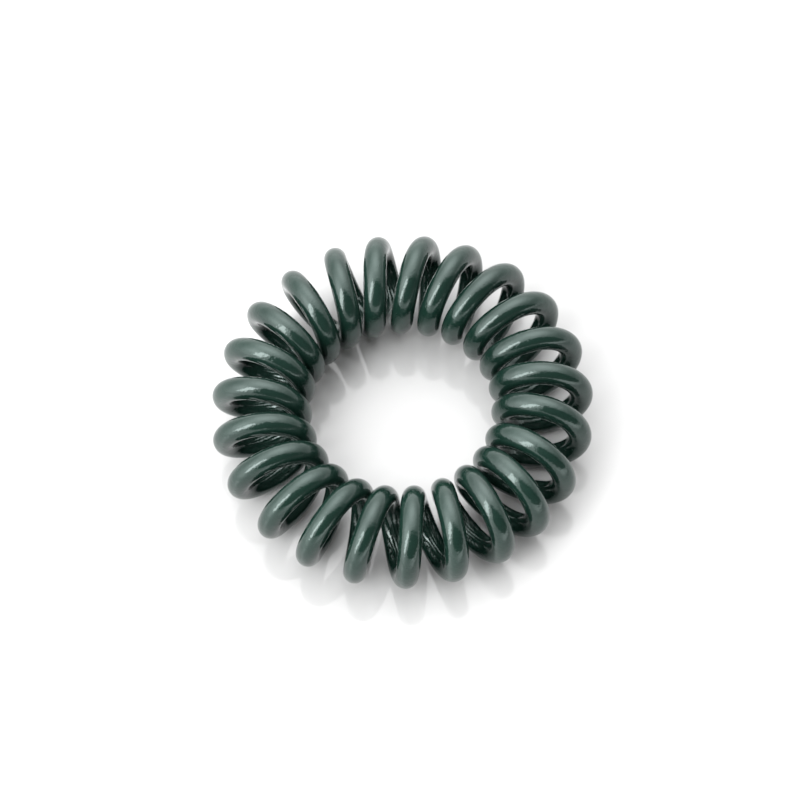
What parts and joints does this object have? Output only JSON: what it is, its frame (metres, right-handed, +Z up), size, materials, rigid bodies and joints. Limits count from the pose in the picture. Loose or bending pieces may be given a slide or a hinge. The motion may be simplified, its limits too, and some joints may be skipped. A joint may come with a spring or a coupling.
{
  "type": "spiral hair tie",
  "caption": "Closed ring of one glossy plastic cord wound into an open coil, for gathering and holding hair.",
  "frame": {"origin": "centre of the ring on the surface that it lies on", "axes": "+Z up along the hair hole's axis; -Y towards the viewer of the picture, +X to the viewer's right"},
  "size_m": [0.052, 0.052, 0.0138],
  "materials": {
    "cord": "gloss, dark green thermoplastic polyurethane"
  },
  "bodies": {
    "root": {"coil": "cord"}
  },
  "joints": []
}
